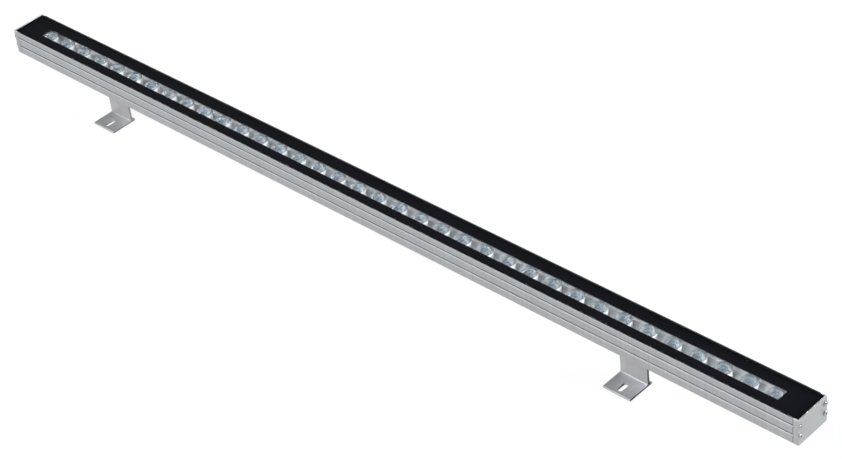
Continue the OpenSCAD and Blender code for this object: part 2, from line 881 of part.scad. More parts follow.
// Foot: a slotted base and an upright that ends in the middle hinge knuckle
module foot() {
  shoulder_z = pivot_z - knuckle_r - shoulder_gap;
  slot_y = foot_front_y + slot_inset;
  slot_run = slot_len - slot_w;
  difference() {
    union() {
      along_x(-bracket_w / 2, bracket_w) {
        rounded_rect(foot_front_y, 0, foot_len, foot_t, edge_r);
        translate([-upright_t / 2, foot_t / 2]) square([upright_t, shoulder_z - foot_t / 2]);
        foot_fillet(-1);
        foot_fillet(1);
      }
      along_x(-foot_knuckle_w / 2, foot_knuckle_w) {
        translate([-upright_t / 2, foot_t]) square([upright_t, pivot_z - foot_t]);
        translate([0, pivot_z]) circle(knuckle_r);
      }
    }
    translate([-bracket_w, 0, pivot_z]) rotate([0, 90, 0]) cylinder(h = 2 * bracket_w, r = pivot_hole_r);
    for (y = [slot_y - slot_run / 2, slot_y + slot_run / 2]) {
      translate([0, y, -cut]) cylinder(h = foot_t + 2 * cut, d = slot_w);
    }
    translate([-slot_w / 2, slot_y - slot_run / 2, -cut]) cube([slot_w, slot_run, foot_t + 2 * cut]);
  }
}

module left_clip() {
  color([0.7, 0.7, 0.72]) at_bracket(-1) clip();
}

module left_clip_set_screws() {
  color([0.3, 0.3, 0.31]) at_bracket(-1) clip_set_screws();
}

module left_pivot_bolt() {
  color([0.8, 0.8, 0.82]) at_bracket(-1) pivot_bolt();
}

module left_pivot_nut() {
  color([0.8, 0.8, 0.82]) at_bracket(-1) pivot_nut();
}

module left_pivot_washers() {
  color([0.8, 0.8, 0.82]) at_bracket(-1) pivot_washers();
}

module left_foot() {
  color([0.66, 0.66, 0.68]) at_bracket(-1) foot();
}

module right_clip() {
  color([0.7, 0.7, 0.72]) at_bracket(1) clip();
}

module right_clip_set_screws() {
  color([0.3, 0.3, 0.31]) at_bracket(1) clip_set_screws();
}

module right_pivot_bolt() {
  color([0.8, 0.8, 0.82]) at_bracket(1) pivot_bolt();
}

module right_pivot_nut() {
  color([0.8, 0.8, 0.82]) at_bracket(1) pivot_nut();
}

module right_pivot_washers() {
  color([0.8, 0.8, 0.82]) at_bracket(1) pivot_washers();
}

module right_foot() {
  color([0.66, 0.66, 0.68]) at_bracket(1) foot();
}

placed() housing();
placed() left_end_cap();
placed() right_end_cap();
placed() left_cap_gasket();
placed() right_cap_gasket();
placed() left_cap_screws();
placed() right_cap_screws();
placed() front_glass();
placed() window_print();
placed() glass_seal();
placed() left_led_board();
placed() right_led_board();
placed() left_leds();
placed() right_leds();
placed() left_lens_holders();
placed() right_lens_holders();
placed() left_lenses();
placed() right_lenses();
placed() left_current_regulators();
placed() right_current_regulators();
placed() left_board_screws();
placed() right_board_screws();
placed() board_link();
placed() power_terminal();
placed() gland_body();
placed() gland_washer();
placed() gland_seal();
placed() gland_dome_nut();
placed() gland_locknut();
placed() left_clip();
placed() left_clip_set_screws();
placed() left_pivot_bolt();
placed() left_pivot_nut();
placed() left_pivot_washers();
placed() left_foot();
placed() right_clip();
placed() right_clip_set_screws();
placed() right_pivot_bolt();
placed() right_pivot_nut();
placed() right_pivot_washers();
placed() right_foot();
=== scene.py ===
"""Dresses a linear outdoor wall washer light: its finishes, lenses, screws and fittings."""

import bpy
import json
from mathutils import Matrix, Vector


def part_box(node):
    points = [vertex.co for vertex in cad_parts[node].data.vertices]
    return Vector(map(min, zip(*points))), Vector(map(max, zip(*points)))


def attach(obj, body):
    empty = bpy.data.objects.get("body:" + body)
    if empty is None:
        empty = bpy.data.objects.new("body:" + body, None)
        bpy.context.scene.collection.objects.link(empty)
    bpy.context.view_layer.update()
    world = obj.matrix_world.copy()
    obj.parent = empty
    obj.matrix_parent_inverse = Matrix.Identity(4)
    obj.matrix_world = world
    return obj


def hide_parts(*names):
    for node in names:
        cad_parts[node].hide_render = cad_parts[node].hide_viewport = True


bl_info = {
    "name": "Wall Washer Light",
    "version": (1, 0, 0),
    "blender": (4, 5, 0),
    "location": "3D View > Sidebar > Wall Washer",
    "description": "Dresses a linear wall washer light with its finishes, lenses and fittings",
    "category": "Object",
}

import json
import math

import bmesh
import bpy
from bpy.props import FloatProperty, FloatVectorProperty, IntProperty, PointerProperty
from mathutils import Matrix, Vector

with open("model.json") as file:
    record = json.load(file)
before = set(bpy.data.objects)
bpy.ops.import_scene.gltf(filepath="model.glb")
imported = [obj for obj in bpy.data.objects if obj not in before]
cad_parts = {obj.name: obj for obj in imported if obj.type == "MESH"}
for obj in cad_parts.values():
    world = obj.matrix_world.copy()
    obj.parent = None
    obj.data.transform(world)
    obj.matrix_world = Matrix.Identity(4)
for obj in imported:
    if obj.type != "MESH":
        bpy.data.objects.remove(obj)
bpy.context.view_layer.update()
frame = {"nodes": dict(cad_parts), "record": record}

MM = 0.001
SIDES = ("left", "right")
SAME_POINT = 0.002 * MM  # points nearer than this are merged


# Selecting and finishing

def deselect():
    """Nothing is selected afterwards, the frame's own nodes included."""
    bpy.ops.object.select_all(action="DESELECT")


def pick(piece):
    """Makes a piece the only selected and active one."""
    deselect()
    piece.select_set(True)
    bpy.context.view_layer.objects.active = piece


def named(name):
    """Names the piece that was just added."""
    piece = bpy.context.active_object
    piece.name = name
    piece.data.name = name
    return piece


def edit(piece):
    """Opens a piece for editing, all of it selected."""
    pick(piece)
    bpy.ops.object.mode_set(mode="EDIT")
    bpy.ops.mesh.select_all(action="SELECT")


def close_edit():
    """Leaves edit mode with the faces pointing outwards."""
    bpy.ops.mesh.select_all(action="SELECT")
    bpy.ops.mesh.normals_make_consistent(inside=False)
    bpy.ops.object.mode_set(mode="OBJECT")


def settle(piece, smooth_below=35):
    """Puts a piece's place into its mesh and smooths its round faces."""
    pick(piece)
    bpy.ops.object.transform_apply(location=True, rotation=True, scale=True)
    bpy.ops.object.shade_smooth_by_angle(angle=math.radians(smooth_below), keep_sharp_edges=False)
    return piece


def select_faces(piece, wanted):
    """In edit mode, selects the faces that wanted(face) is true for."""
    bpy.ops.mesh.select_all(action="DESELECT")
    mesh = bmesh.from_edit_mesh(piece.data)
    for face in mesh.faces:
        face.select = wanted(face)
    mesh.select_flush_mode()
    bmesh.update_edit_mesh(piece.data)


def apply_modifier(piece, kind, **settings):
    """Adds a modifier with these settings and applies it."""
    pick(piece)
    bpy.ops.object.modifier_add(type=kind)
    modifier = piece.modifiers[-1]
    for key, value in settings.items():
        setattr(modifier, key, value)
    bpy.ops.object.modifier_apply(modifier=modifier.name)


def round_edges(piece, width, segments=2, above=40):
    """Rounds every edge that turns by more than an angle."""
    apply_modifier(piece, "BEVEL", width=width, segments=segments, limit_method="ANGLE",
                   angle_limit=math.radians(above), use_clamp_overlap=True)


def join(pieces, name):
    """Joins pieces into one."""
    deselect()
    for piece in pieces:
        piece.select_set(True)
    bpy.context.view_layer.objects.active = pieces[0]
    bpy.ops.object.join()
    return named(name)


def repeat(piece, places, name):
    """Copies a finished piece to every place, each copy with its own mesh, and joins them."""
    copies = []
    for place in places:
        copy = piece.copy()
        copy.data = piece.data.copy()
        copy.data.transform(Matrix.Translation(place))
        bpy.context.scene.collection.objects.link(copy)
        copies.append(copy)
    bpy.data.objects.remove(piece)
    return join(copies, name)


def turned(name, outline, segments):
    """A turned piece about Z: a disc drawn out ring by ring along (radius, height) points."""
    first_radius, first_height = outline[0]
    deselect()
    bpy.ops.mesh.primitive_circle_add(vertices=segments, radius=first_radius, fill_type="NGON",
                                      location=(0, 0, first_height))
    piece = named(name)
    edit(piece)
    for (radius, height), (next_radius, next_height) in zip(outline, outline[1:]):
        rise = (0, 0, next_height - height)
        grow = next_radius / radius
        bpy.ops.mesh.extrude_region_move(TRANSFORM_OT_translate={"value": rise})
        bpy.ops.transform.resize(value=(grow, grow, 1), center_override=(0, 0, next_height))
    close_edit()
    bpy.ops.object.transform_apply(location=True, rotation=True, scale=True)
    return piece


def block(name, low, high, rounding, segments=2):
    """A block between two corners with rounded edges."""
    low, high = Vector(low), Vector(high)
    deselect()
    bpy.ops.mesh.primitive_cube_add(size=1, location=(low + high) / 2, scale=high - low)
    piece = named(name)
    bpy.ops.object.transform_apply(location=True, rotation=True, scale=True)
    round_edges(piece, rounding, segments)
    return piece


def softened(node, rounding, segments=2):
    """A copy of a node with its triangles merged into faces and its edges rounded."""
    source = frame["nodes"][node]
    piece = bpy.data.objects.new(node + "_finished", source.data.copy())
    piece.data.name = piece.name
    bpy.context.scene.collection.objects.link(piece)
    edit(piece)
    bpy.ops.mesh.remove_doubles(threshold=SAME_POINT)
    bpy.ops.mesh.dissolve_limited(angle_limit=math.radians(0.3))
    close_edit()
    round_edges(piece, rounding, segments)
    settle(piece)
    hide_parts(node)
    return piece


def finish_with(piece, *finishes):
    """Gives a piece or a node its materials."""
    piece.data.materials.clear()
    for finish in finishes:
        piece.data.materials.append(finish)
    return piece


def belongs(piece, node):
    """A piece rides on its node's body."""
    for body, members in frame["record"]["behaviour"]["bodies"].items():
        if node in members:
            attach(piece, body)
    for part in frame["record"]["subparts"]:
        part["node"] == node
    return piece


# Writing materials

class Value:
    """A number that varies over a surface, written in sums as plain numbers are."""

    def __init__(self, tree, socket):
        self.tree = tree
        self.socket = socket

    def _sum(self, operation, first, second):
        node = self.tree.nodes.new("ShaderNodeMath")
        node.operation = operation
        for slot, part in zip(node.inputs, (first, second)):
            if isinstance(part, Value):
                self.tree.links.new(part.socket, slot)
            else:
                slot.default_value = part
        return Value(self.tree, node.outputs[0])

    def __add__(self, other):
        return self._sum("ADD", self, other)

    def __radd__(self, other):
        return self._sum("ADD", other, self)

    def __sub__(self, other):
        return self._sum("SUBTRACT", self, other)

    def __rsub__(self, other):
        return self._sum("SUBTRACT", other, self)

    def __mul__(self, other):
        return self._sum("MULTIPLY", self, other)

    def __rmul__(self, other):
        return self._sum("MULTIPLY", other, self)

    def __truediv__(self, other):
        return self._sum("DIVIDE", self, other)

    def __rtruediv__(self, other):
        return self._sum("DIVIDE", other, self)

    def __abs__(self):
        return self._sum("ABSOLUTE", self, 0)

    def __gt__(self, other):
        return self._sum("GREATER_THAN", self, other)

    def __lt__(self, other):
        return self._sum("LESS_THAN", self, other)


class Finish:
    """One material, built from a Principled shader."""

    def __init__(self, name, **constants):
        self.material = bpy.data.materials.new(name)
        self.material.use_nodes = True
        self.tree = self.material.node_tree
        self.shader = self.tree.nodes["Principled BSDF"]
        for socket, value in constants.items():
            self.set(socket.replace("_", " "), value)

    def node(self, kind, settings=None, output=0, **sockets):
        """Adds a node, with its settings first and then its sockets' values or links."""
        node = self.tree.nodes.new(kind)
        for key, value in (settings or {}).items():
            setattr(node, key, value)
        for key, value in sockets.items():
            self._fill(self._socket(node, key), value)
        return Value(self.tree, node.outputs[output])

    def _socket(self, node, key):
        """A socket by its name, or by its number for names that repeat."""
        if key.startswith("input_"):
            return node.inputs[int(key[len("input_"):])]
        return node.inputs[key.replace("_", " ")]

    def _fill(self, socket, value):
        if isinstance(value, Value):
            self.tree.links.new(value.socket, socket)
        elif socket.type == "RGBA" and len(value) == 3:
            socket.default_value = (*value, 1)
        else:
            socket.default_value = value

    def set(self, socket, value):
        """Sets or links one of the shader's own sockets."""
        self._fill(self.shader.inputs[socket], value)

    def place(self, stretch=(1, 1, 1)):
        """The point on the piece in metres, stretched for a pattern."""
        point = self.node("ShaderNodeTexCoord", output=3)
        return self.node("ShaderNodeMapping", Vector=point, Scale=stretch)

    def noise(self, cells, detail=2):
        """Noise from 0 to 1, so many cells to the metre along each axis."""
        return self.node("ShaderNodeTexNoise", Vector=self.place(cells), Scale=1.0, Detail=detail)

    def normal(self):
        """The direction that the surface faces."""
        return self.node("ShaderNodeNewGeometry", output=1)

    def axis(self, vector, name):
        """One axis of a vector."""
        return self.node("ShaderNodeSeparateXYZ", output="XYZ".index(name), Vector=vector)

    def mix(self, share, first, second):
        """Mixes two colours by a share."""
        return self.node("ShaderNodeMix", {"data_type": "RGBA"}, output=2,
                         input_0=share, input_6=first, input_7=second)

    def shade(self, colour, share):
        """A colour made darker or lighter by a varying share round 1."""
        return self.node("ShaderNodeVectorMath", {"operation": "SCALE"},
                         input_0=tuple(colour), Scale=share)

    def clear_to_lamps(self, share):
        """Lets a share of the lamps' light straight through, as glass and clear plastic do."""
        straight = self.tree.nodes.new("ShaderNodeBsdfTransparent")
        straight.inputs["Color"].default_value = (share, share, share, 1)
        path = self.tree.nodes.new("ShaderNodeLightPath")
        either = self.tree.nodes.new("ShaderNodeMixShader")
        output = self.tree.nodes["Material Output"]
        self.tree.links.new(path.outputs["Is Shadow Ray"], either.inputs[0])
        self.tree.links.new(self.shader.outputs[0], either.inputs[1])
        self.tree.links.new(straight.outputs[0], either.inputs[2])
        self.tree.links.new(either.outputs[0], output.inputs["Surface"])

    def bump(self, height, distance):
        """Raises the surface by a height from 0 to 1 times a distance."""
        self.set("Normal", self.node("ShaderNodeBump", Height=height, Distance=distance, Strength=1.0))


# Sizes and colours

def colour(name, description, value):
    """A colour property."""
    return FloatVectorProperty(name=name, description=description, default=value, size=3,
                               min=0, max=1, subtype="COLOR")


def length(name, description, value):
    """A length property, in metres."""
    return FloatProperty(name=name, description=description, default=value, min=0,
                         subtype="DISTANCE", unit="LENGTH", precision=5)


def power(name, description, value):
    """A lamp's power property, in watts."""
    return FloatProperty(name=name, description=description, default=value, min=0, unit="POWER")


class WasherColours(bpy.types.PropertyGroup):
    """The colours of the finishes."""

    housing: colour("Housing", "Silver anodised extrusion", (0.357, 0.374, 0.387))
    # Painted shade: near black for the shade deep in the slits and screw ports.
    groove: colour("Grooves", "Dull inner walls of the screw ports", (0.04, 0.042, 0.045))
    cap: colour("End caps", "Matt silver plate", (0.384, 0.396, 0.404))
    bracket: colour("Brackets", "Silver profile with a faint lilac tint", (0.44, 0.44, 0.457))
    sawn_left: colour("Left sawn ends", "Cut ends of the left bracket", (0.22, 0.22, 0.24))
    # Painted shadow: the right bracket's cut ends are near black for the shade they lie in.
    shadowed_sawn_right: colour("Right sawn ends", "Cut ends of the right bracket", (0.03, 0.03, 0.05))
    inside: colour("Inside", "Pale lining of the housing", (0.92, 0.94, 0.96))
    steel: colour("Steel", "Bright bolts and screws", (0.6, 0.6, 0.61))
    cap_screw: colour("Cap screws", "Darker steel of the cap screws", (0.42, 0.42, 0.43))
    print: colour("Print", "Black border behind the glass", (0.0025, 0.003, 0.0055))
    glass: colour("Glass", "Tint of the pane", (0.955, 0.98, 0.99))
    lens: colour("Lens", "Clear lens body", (0.58, 0.62, 0.65))
    # Painted shade: a darker tint in the lens middle stands in for the dark seen through it.
    dish: colour("Lens dish", "Deeper tone in the middle of a lens", (0.38, 0.45, 0.54))
    holder: colour("Lens holder", "Pale plastic cup", (0.88, 0.91, 0.93))
    board: colour("Board", "White solder mask", (0.84, 0.86, 0.88))
    solder: colour("Solder", "Bright pads beside the light sources", (0.6, 0.6, 0.62))
    ceramic: colour("Ceramic", "Pale base of a light source", (0.7, 0.7, 0.68))
    phosphor: colour("Phosphor", "Yellow face of a light source", (0.8, 0.66, 0.24))
    dome: colour("Dome", "Clear cover of a light source", (0.85, 0.87, 0.86))
    chip: colour("Chip", "Black epoxy of the regulators", (0.03, 0.03, 0.032))
    terminal: colour("Terminal", "White nylon of the terminal and the bridge", (0.7, 0.7, 0.66))
    silicone: colour("Silicone", "Grey gasket and glass bed", (0.2, 0.2, 0.205))
    gland: colour("Gland", "Black nylon of the lead entry", (0.025, 0.025, 0.027))
    rubber: colour("Rubber", "Black rubber of the lead entry", (0.03, 0.03, 0.03))
    black_oxide: colour("Black oxide", "Darkened set screws", (0.07, 0.07, 0.075))


class WasherSizes(bpy.types.PropertyGroup):
    """The sizes of the added detail."""

    cap_rounding: length("Cap edges", "Rounding of the end caps", 0.3 * MM)
    bracket_rounding: length("Bracket edges", "Rounding of the sawn brackets", 0.2 * MM)
    glass_arris: length("Glass arris", "Rounding of the pane's edges", 0.15 * MM)
    small_rounding: length("Small edges", "Rounding of small fittings", 0.12 * MM)
    lens_segments: IntProperty(name="Lens segments", description="Faces round a lens", default=48,
                               min=16, max=96)
    screw_segments: IntProperty(name="Screw segments", description="Faces round a screw head",
                                default=40, min=16, max=96)
    screw_turn: FloatProperty(name="Screw turn", description="Turn from one cap screw to the next",
                              default=math.radians(23), subtype="ANGLE")
    pad: length("Solder pad", "Width of a light source's solder pads", 0.9 * MM)
    wave: length("Striation", "Distance between the faint lines across the housing", 1.9 * MM)
    board_gap: length("Board gap", "From a board's edge to where the pale lining ends", 1.5 * MM)
    board_seat: length("Board seat", "How far the lining reaches under a board", 0.1 * MM)
    # Painted shade: how far the darkened ports and slit roofs reach, and the silver left beside them.
    port_shade_reach: length("Dull port", "How far a dull port reaches up and down", 1.6 * MM)
    roof_shade_reach: length("Dull roof", "How far the dull roof of a slit reaches up", 1.0 * MM)
    face_skin: length("Face skin", "Silver left between a dull port and the side", 0.15 * MM)
    # Painted highlight: where the lighter band below each groove lies and how far it reaches.
    lip_highlight_drop: length("Lip drop", "From a groove's middle down to its bright lip", 1.5 * MM)
    lip_highlight_reach: length("Lip reach", "How far a bright lip fades up and down", 1.0 * MM)
    lip_highlight_depth: length("Lip depth", "How far a bright lip reaches into the slit", 0.7 * MM)
    rim_depth: length("Rim depth", "How far the sealant runs down the rim", 0.3 * MM)
    rim_skin: length("Rim skin", "Silver left between the sealant and the side", 0.14 * MM)
    # Painted highlight: how far the lighter band runs down from the rim.
    rim_highlight_reach: length("Rim light", "How far the lighter line runs down from the rim", 0.6 * MM)


class WasherStage(bpy.types.PropertyGroup):
    """The camera, the lamps and the backdrop."""

    focal: FloatProperty(name="Focal length", description="Camera's focal length", default=99.875,
                         min=10, unit="CAMERA")
    camera_place: FloatVectorProperty(name="Camera", description="Where the camera stands",
                                      default=(1.31578, -1.14098, 1.3421), subtype="TRANSLATION",
                                      unit="LENGTH")
    camera_turn: FloatVectorProperty(name="Camera turn", description="How the camera is turned",
                                     default=[math.radians(a) for a in (52.461, 5.6313, 43.217)],
                                     subtype="EULER", unit="ROTATION")
    key_power: power("Key lamp", "Power of the lamp high in front", 52)
    edge_power: power("Edge lamp", "Power of the lamp that lights the edges", 60)
    top_power: power("Top lamp", "Power of the lamp high behind", 22)
    side_power: power("Side lamp", "Power of the lamp at the right end", 76)
    front_power: power("Front lamp", "Power of the lamp that fills the window", 10)
    room: FloatProperty(name="Room", description="Brightness of the studio round the lamp",
                        default=0.05, min=0)
    room_colour: colour("Room colour", "Tint of the studio's own light", (0.87, 0.93, 1.0))
    floor_span: length("Floor", "Width of the floor", 20.0)
    wall_height: length("Wall", "Height of the low wall round the floor", 1.7)


def sizes():
    return bpy.context.scene.washer_sizes


def colours():
    return bpy.context.scene.washer_colours


# Finishes

def upward_highlight(finish, upper):
    """1 where the surface faces up, but less than upper: the upward faces that get a painted highlight."""
    rise = finish.axis(finish.normal(), "Z")
    return (rise > 0.2) * (rise < upper)


def drawn_lines(finish):
    """Fine lines along X and faint lines across, as a share round 1, and the fine lines alone."""
    along = finish.noise((9, 5200, 5200), detail=3)
    cloud = finish.noise((22, 60, 60))
    across = finish.noise((1 / sizes().wave, 12, 12), detail=1)
    finish.bump(along * 0.7 + across * 0.3, 0.006 * MM)
    return 0.79 + along * 0.1 + cloud * 0.05 + across * 0.28, along


def groove_heights():
    """The heights of the grooves, which lie in line with the cap screws."""
    middles = [(low.z + high.z) / 2 for low, high in loose_boxes("right_cap_screws")]
    return min(middles), max(middles)


def housing_metal():
    """Silver extrusion: painted shade in the slits over painted highlights below them, a painted highlight
    along the top, black sealant on the rim and a pale inside.
    """
    tint = colours()
    size = sizes()
    metallic = 0.75
    finish = Finish("housing_metal")
    share, along = drawn_lines(finish)
    board_low, board_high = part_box("left_led_board")
    housing_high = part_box("housing")[1]
    middle = (board_low.y + board_high.y) / 2
    wall = board_high.y - middle + size.board_gap
    face = housing_high.y - middle
    rise = finish.axis(finish.normal(), "Z")
    place = finish.place()
    height = finish.axis(place, "Z")
    off_middle = abs(finish.axis(place, "Y") - middle)
    # Painted highlight: a lighter band along the top of the housing and on its upward rounded edges.
    painted_rim_highlight = height > housing_high.z - size.rim_highlight_reach
    share = share + upward_highlight(finish, 0.96) * 0.3 + painted_rim_highlight * 0.42
    # Painted shade: the screw ports and the downward roofs of the slits are darkened to the groove colour.
    slit = 0.0
    for groove in groove_heights():
        below = groove - height
        port = (abs(below) < size.port_shade_reach) * (off_middle > wall) * (off_middle < face - size.face_skin)
        roof = (abs(below) < size.roof_shade_reach) * (off_middle > wall) * (rise < -0.2)
        slit = slit + port + roof
        # Painted highlight: a lighter band just below each slit, where the lower lip catches the light.
        off_lip = (below - size.lip_highlight_drop) / size.lip_highlight_reach
        glow = 1 - off_lip * off_lip
        share = share + glow * (glow > 0) * (off_middle > face - size.lip_highlight_depth) * 0.4
    shade = finish.mix(slit > 0.5, finish.shade(tint.housing, share), tint.groove)
    sealant = (off_middle < face - size.rim_skin) * (height > housing_high.z - size.rim_depth)
    shade = finish.mix(sealant, shade, finish.shade(tint.print, 1.0 + along * 2.0))
    lined = (off_middle < wall) * (height > board_low.z - size.board_seat)
    shade = finish.mix(lined, shade, finish.shade(tint.inside, 0.9 + along * 0.1))
    finish.set("Base Color", shade)
    finish.set("Metallic", metallic - (lined + sealant) * metallic)
    finish.set("Roughness", 0.37 + (along - 0.5) * 0.12)
    return finish.material


def bracket_metal(side, sawn):
    """Silver profile with darker sawn ends; the right bracket's are near black, a painted shadow."""
    finish = Finish(side + "_bracket_metal", Metallic=0.6)
    share, along = drawn_lines(finish)
    cut = abs(finish.axis(finish.normal(), "X")) > 0.9
    teeth = finish.noise((900, 2600, 300), detail=3)
    finish.set("Base Color", finish.mix(cut, finish.shade(colours().bracket, share),
                                        finish.shade(sawn, 0.75 + teeth * 0.5)))
    finish.set("Roughness", 0.45 + (along - 0.5) * 0.12 + cut * 0.15)
    return finish.material


def cap_metal():
    """Matt anodised plate with an even fine grain and a painted highlight on its upward faces and upper
    edge.
    """
    finish = Finish("cap_metal", Metallic=0.75)
    grain = finish.noise((2600, 2600, 2600), detail=3)
    cloud = finish.noise((70, 70, 70))
    # Painted highlight on every face that looks up.
    share = 0.92 + grain * 0.1 + cloud * 0.06 + upward_highlight(finish, 1.1) * 0.6
    finish.set("Base Color", finish.shade(colours().cap, share))
    finish.set("Roughness", 0.45 + (grain - 0.5) * 0.15)
    finish.bump(grain, 0.01 * MM)
    return finish.material


def bright_steel(name, tint):
    """Stainless steel with fine turning marks and a little wear."""
    finish = Finish(name, Metallic=1.0)
    marks = finish.noise((7000, 7000, 2500), detail=2)
    wear = finish.noise((420, 420, 420), detail=3)
    finish.set("Base Color", finish.shade(tint, 0.84 + marks * 0.16 + wear * 0.1))
    finish.set("Roughness", 0.16 + wear * 0.16)
    finish.bump(marks, 0.004 * MM)
    return finish.material


def moulded(name, tint, roughness):
    """Moulded plastic or rubber with a fine grain."""
    finish = Finish(name)
    grain = finish.noise((2400, 2400, 2400), detail=2)
    cloud = finish.noise((160, 160, 160))
    finish.set("Base Color", finish.shade(tint, 0.92 + grain * 0.08 + cloud * 0.08))
    finish.set("Roughness", roughness + (cloud - 0.5) * 0.12)
    finish.bump(grain, 0.01 * MM)
    return finish.material


def black_print():
    """Black ceramic print behind the glass, with a faint unevenness."""
    finish = Finish("black_print", Specular_IOR_Level=0.1)
    cloud = finish.noise((40, 120, 120), detail=4)
    finish.set("Base Color", finish.shade(colours().print, 0.7 + cloud * 0.6))
    finish.set("Roughness", 0.45 + cloud * 0.2)
    return finish.material


def clear_dome():
    """Clear silicone: see-through where it faces the eye, paler where it is seen edge on."""
    finish = Finish("led_dome")
    edge = finish.node("ShaderNodeLayerWeight", output=1, Blend=0.35)
    streak = finish.noise((500, 500, 500), detail=2)
    finish.set("Base Color", finish.shade(colours().dome, 0.94 + streak * 0.1))
    finish.set("Roughness", 0.06 + streak * 0.04)
    finish.set("Alpha", 0.1 + edge * 0.4)
    return finish.material


def refracting(name, tint, roughness, clear, passed, cells):
    """Glass or clear plastic that bends what is seen through it, with faint smears."""
    finish = Finish(name, Transmission_Weight=clear, IOR=1.5)
    smear = finish.noise(cells, detail=2)
    finish.set("Base Color", finish.shade(tint, 0.97 + smear * 0.05))
    finish.set("Roughness", roughness + smear * 0.02)
    finish.clear_to_lamps(passed)
    return finish.material


def pane_glass():
    """The clear pane, with long faint smears."""
    return refracting("clear_glass", colours().glass, roughness=0.0, clear=1.0, passed=0.96,
                      cells=(14, 60, 60))


def acrylic(name, tint, roughness):
    """Clear acrylic, a little hazy."""
    return refracting(name, tint, roughness, clear=0.94, passed=0.6, cells=(300, 300, 300))


def white_mask():
    """White solder mask over copper tracks that show as faint raised bands."""
    finish = Finish("white_board")
    point = finish.place()
    bands = finish.node("ShaderNodeTexWave", {"wave_type": "BANDS", "bands_direction": "Y"}, output=1,
                        Vector=point, Scale=110.0, Distortion=0.0)
    track = bands > 0.72
    grain = finish.noise((1800, 1800, 1800))
    finish.set("Base Color", finish.shade(colours().board, 0.95 - track * 0.08 + grain * 0.05))
    finish.set("Roughness", 0.42 + grain * 0.1)
    finish.bump(track * 0.8 + grain * 0.2, 0.03 * MM)
    return finish.material


# Pieces

class WASHER_OT_housing(bpy.types.Operator):
    """Finishes the extruded housing and the bed of the glass"""

    bl_idname = "washer.housing"
    bl_label = "Housing"

    def execute(self, context):
        finish_with(frame["nodes"]["housing"], housing_metal())
        silicone = moulded("grey_silicone", colours().silicone, roughness=0.7)
        for node in ("glass_seal", "left_cap_gasket", "right_cap_gasket"):
            finish_with(frame["nodes"][node], silicone)
        return {"FINISHED"}


class WASHER_OT_caps(bpy.types.Operator):
    """Rounds the edges of the two end caps"""

    bl_idname = "washer.caps"
    bl_label = "End Caps"

    def execute(self, context):
        plate = cap_metal()
        for side in SIDES:
            node = side + "_end_cap"
            belongs(finish_with(softened(node, sizes().cap_rounding), plate), node)
        return {"FINISHED"}


def loose_boxes(node):
    """The box of every loose solid of a node."""
    mesh = bmesh.new()
    mesh.from_mesh(frame["nodes"][node].data)
    bmesh.ops.remove_doubles(mesh, verts=mesh.verts, dist=SAME_POINT)
    seen = set()
    boxes = []
    for vertex in mesh.verts:
        if vertex.index in seen:
            continue
        group = [vertex]
        seen.add(vertex.index)
        for member in group:
            for link in member.link_edges:
                other = link.other_vert(member)
                if other.index not in seen:
                    seen.add(other.index)
                    group.append(other)
        low = Vector([min(v.co[i] for v in group) for i in range(3)])
        high = Vector([max(v.co[i] for v in group) for i in range(3)])
        boxes.append((low, high))
    mesh.free()
    return boxes


def pan_screw(name, head_radius, head_height, shank_radius, shank_length):
    """A pan head screw with a tapered cross recess, head up, its head's underside on Z zero."""
    crown_shares = [(1.0, 0.0), (1.0, 0.3), (0.985, 0.42), (0.93, 0.6), (0.82, 0.77), (0.62, 0.91),
                    (0.36, 0.98), (0.06, 1.0)]
    outline = [(shank_radius * 0.8, -shank_length), (shank_radius, -shank_length + shank_radius * 0.25)]
    outline += [(shank_radius, -head_height * 0.05), (shank_radius * 1.01, 0.0)]
    outline += [(r * head_radius, z * head_height) for r, z in crown_shares]
    piece = turned(name, outline, sizes().screw_segments)
    recess_middle = head_height * 0.8
    recess_size = (head_radius * 1.16, head_radius * 0.3, head_height * 1.2)
    recess_taper = (0.5, 0.6, 1)
    for turn in (0, 90):
        deselect()
        bpy.ops.mesh.primitive_cube_add(size=1, location=(0, 0, recess_middle), scale=recess_size,
                                        rotation=(0, 0, math.radians(turn)))
        bar = named("recess")
        edit(bar)
        select_faces(bar, lambda face: face.normal.z < -0.9)
        bpy.ops.transform.resize(value=recess_taper)
        close_edit()
        apply_modifier(piece, "BOOLEAN", operation="DIFFERENCE", object=bar, solver="EXACT")
        bpy.data.objects.remove(bar)
    round_edges(piece, head_radius * 0.04, 1, 45)
    return piece


class WASHER_OT_cap_screws(bpy.types.Operator):
    """Makes the pan head screws in the end caps"""

    bl_idname = "washer.cap_screws"
    bl_label = "Cap Screws"

    def execute(self, context):
        steel = bright_steel("cap_screw_steel", colours().cap_screw)
        for side, outward in (("left", -1), ("right", 1)):
            node = side + "_cap_screws"
            cap_low, cap_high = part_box(side + "_end_cap")
            face = cap_low.x if outward < 0 else cap_high.x
            lay_down = Matrix.Rotation(math.radians(90 * outward), 3, "Y")
            screws = []
            for low, high in loose_boxes(node):
                tip, inner = (low.x, high.x) if outward < 0 else (high.x, low.x)
                head_radius = (high.z - low.z) / 2
                screw = pan_screw("screw", head_radius, abs(tip - face), head_radius / 2, abs(face - inner))
                spin = Matrix.Rotation(sizes().screw_turn * len(screws), 3, "X")
                screw.rotation_euler = (spin @ lay_down).to_euler()
                screw.location = (face, (low.y + high.y) / 2, (low.z + high.z) / 2)
                screws.append(settle(screw))
            group = join(screws, node + "_finished")
            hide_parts(node)
            belongs(finish_with(group, steel), node)
        return {"FINISHED"}


